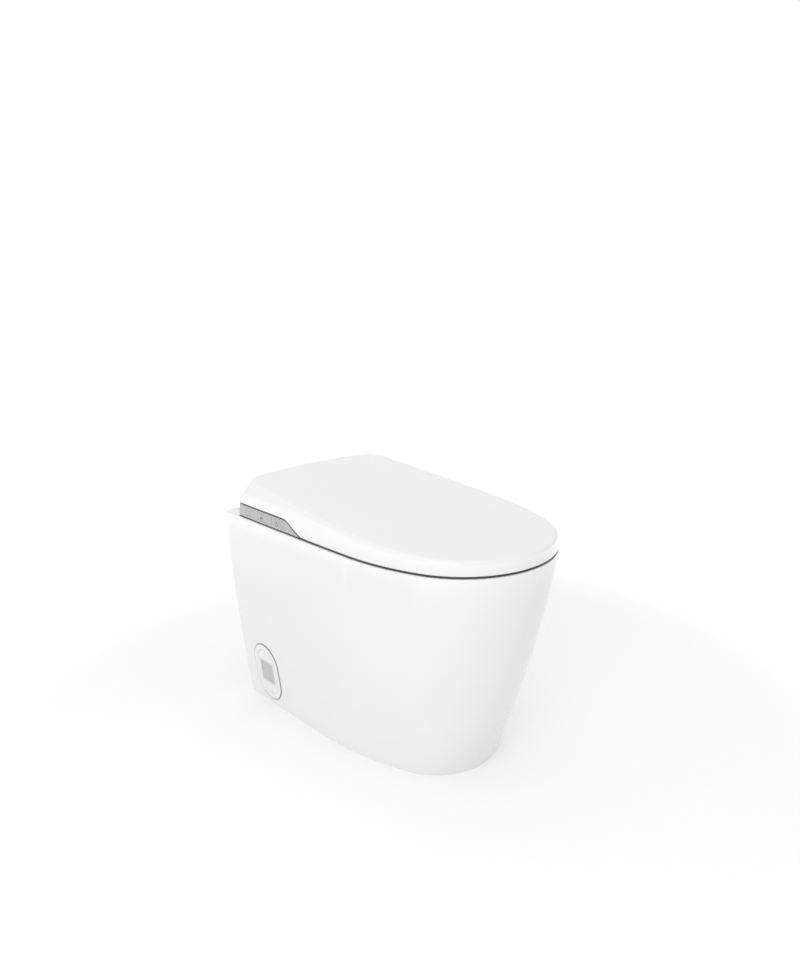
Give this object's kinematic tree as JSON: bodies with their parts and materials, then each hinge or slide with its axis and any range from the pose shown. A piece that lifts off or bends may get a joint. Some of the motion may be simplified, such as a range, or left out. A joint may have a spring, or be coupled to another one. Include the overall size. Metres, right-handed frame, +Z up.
{
  "type": "smart toilet",
  "caption": "Smart toilet with a skirted ceramic pedestal, heated seat, full-cover lid, wash wands, warm-air dryer and a side key panel.",
  "frame": {"origin": "on the floor under the middle of the bounding box", "axes": "+Z up, +Y to the rear, +X to the left of a person who looks at the front"},
  "size_m": [0.3656, 0.6594, 0.4834],
  "materials": {
    "ceramic": "glossy white glaze",
    "lid_plastic": "glossy white polypropylene",
    "liner_plastic": "satin white polypropylene",
    "seat_plastic": "smooth white antibacterial plastic",
    "seat_plate_plastic": "fine-grained white",
    "heating_foil": "copper-coloured film heater",
    "bumper_rubber": "soft pale grey rubber",
    "panel_grey": "satin light grey",
    "key_grey": "satin light grey",
    "unit_plastic": "satin white",
    "tray_plastic": "matt white",
    "cover_plastic": "satin white",
    "door_plastic": "satin white",
    "grille_plastic": "matt pale grey",
    "board_green": "solder-masked circuit board",
    "pin_steel": "ground",
    "damper_plastic": "matt dark grey",
    "wand_plastic": "polished white",
    "spray_head_plastic": "polished pale blue-grey",
    "gear_plastic": "natural acetal",
    "guide_plastic": "matt light grey",
    "motor_steel": "plated can",
    "rotor_plastic": "matt dark grey",
    "housing_plastic": "matt grey",
    "flap_plastic": "satin white",
    "heater_metal": "die-cast",
    "screw_steel": "zinc plated",
    "tank_plastic": "natural polyethylene",
    "pump_plastic": "matt black",
    "flush_hose_rubber": "black rubber hose",
    "supply_hose_rubber": "grey reinforced hose",
    "plate_steel": "brushed",
    "nipple_brass": "machined",
    "valve_plastic": "matt white",
    "gland_plastic": "matt black",
    "supply_box_plastic": "matt dark grey"
  },
  "bodies": {
    "pedestal": {"ceramic_body": "ceramic", "service_cover_bezel": "cover_plastic", "service_cover_door": "door_plastic", "service_cover_grille": "grille_plastic", "unit_base": "tray_plastic", "unit_cover": "unit_plastic", "control_panel_plate": "panel_grey", "left_side_panel": "panel_grey", "key_switch_board": "board_green", "hinge_pins": "pin_steel", "hinge_damper_left": "damper_plastic", "hinge_damper_right": "damper_plastic", "wand_guide": "guide_plastic", "wand_motors": "motor_steel", "dryer_blower_housing": "housing_plastic", "dryer_motor": "motor_steel", "deodoriser_blower_housing": "housing_plastic", "deodoriser_motor": "motor_steel", "dryer_flap_pin": "pin_steel", "instant_heater": "heater_metal", "main_circuit_board": "board_green", "cover_screws": "screw_steel", "unit_bolts": "screw_steel", "flush_tank": "tank_plastic", "flush_pump": "pump_plastic", "flush_hose": "flush_hose_rubber", "supply_hose": "supply_hose_rubber", "service_plate": "plate_steel", "water_inlet_nipple": "nipple_brass", "inlet_valve": "valve_plastic", "power_gland": "gland_plastic", "power_supply": "supply_box_plastic"},
    "seat": {"seat_top_shell": "seat_plastic", "seat_base_plate": "seat_plate_plastic", "seat_heating_mat": "heating_foil", "seat_bumpers": "bumper_rubber"},
    "lid": {"lid_shell": "lid_plastic", "lid_liner": "liner_plastic", "lid_bumpers": "bumper_rubber"},
    "rear_wash": {"rear_wash_wand": "wand_plastic", "rear_wash_spray_head": "spray_head_plastic"},
    "front_wash": {"front_wash_wand": "wand_plastic", "front_wash_spray_head": "spray_head_plastic"},
    "rear_wash_gear": {"rear_wash_pinion": "gear_plastic"},
    "front_wash_gear": {"front_wash_pinion": "gear_plastic"},
    "rear_wash_button": {"rear_wash_key": "key_grey"},
    "front_wash_button": {"front_wash_key": "key_grey"},
    "dryer_button": {"dryer_key": "key_grey"},
    "flush_button": {"flush_key": "key_grey"},
    "dryer_rotor": {"dryer_fan_wheel": "rotor_plastic"},
    "deodoriser_rotor": {"deodoriser_fan_wheel": "rotor_plastic"},
    "flap": {"dryer_flap": "flap_plastic"}
  },
  "joints": [
    {"name": "seat_hinge", "type": "hinge", "parent": "pedestal", "child": "seat", "pos_m": [0, 0.267, 0.414], "axis": [1, 0, 0], "range_deg": [-95, 0]},
    {"name": "lid_hinge", "type": "hinge", "parent": "seat", "child": "lid", "pos_m": [0, 0.267, 0.414], "axis": [-1, 0, 0], "range_deg": [0, 95]},
    {"name": "rear_wash_slide", "type": "slide", "parent": "pedestal", "child": "rear_wash", "axis": [0, -0.9397, -0.342], "range_m": [0, 0.098]},
    {"name": "front_wash_slide", "type": "slide", "parent": "pedestal", "child": "front_wash", "axis": [0, -0.9397, -0.342], "range_m": [0, 0.098]},
    {"name": "rear_wash_pinion_spin", "type": "hinge", "parent": "pedestal", "child": "rear_wash_gear", "pos_m": [0.02572, 0.12349, 0.40745], "axis": [0, -0.342, 0.9397], "range_deg": [-938.8, 938.8]},
    {"name": "front_wash_pinion_spin", "type": "hinge", "parent": "pedestal", "child": "front_wash_gear", "pos_m": [-0.02572, 0.12349, 0.40745], "axis": [0, -0.342, 0.9397], "range_deg": [-938.8, 938.8]},
    {"name": "rear_wash_key_press", "type": "slide", "parent": "pedestal", "child": "rear_wash_button", "axis": [1, 0, 0], "range_m": [0, 0.0012], "stiffness_N_per_m": 800},
    {"name": "front_wash_key_press", "type": "slide", "parent": "pedestal", "child": "front_wash_button", "axis": [1, 0, 0], "range_m": [0, 0.0012], "stiffness_N_per_m": 800},
    {"name": "dryer_key_press", "type": "slide", "parent": "pedestal", "child": "dryer_button", "axis": [1, 0, 0], "range_m": [0, 0.0012], "stiffness_N_per_m": 800},
    {"name": "flush_key_press", "type": "slide", "parent": "pedestal", "child": "flush_button", "axis": [1, 0, 0], "range_m": [0, 0.0012], "stiffness_N_per_m": 800},
    {"name": "dryer_fan_spin", "type": "hinge", "parent": "pedestal", "child": "dryer_rotor", "pos_m": [0.05, 0.202, 0.431], "axis": [1, 0, 0], "continuous": true},
    {"name": "deodoriser_fan_spin", "type": "hinge", "parent": "pedestal", "child": "deodoriser_rotor", "pos_m": [-0.05, 0.202, 0.431], "axis": [1, 0, 0], "continuous": true},
    {"name": "dryer_flap_swing", "type": "hinge", "parent": "pedestal", "child": "flap", "pos_m": [0.0488, 0.0981, 0.3976], "axis": [-1, 0, 0], "range_deg": [0, 70]}
  ],
  "couplings": [
    {"joint": "rear_wash_pinion_spin", "follows": "rear_wash_slide", "rad_per_m": 166.67},
    {"joint": "front_wash_pinion_spin", "follows": "front_wash_slide", "rad_per_m": -166.67}
  ]
}
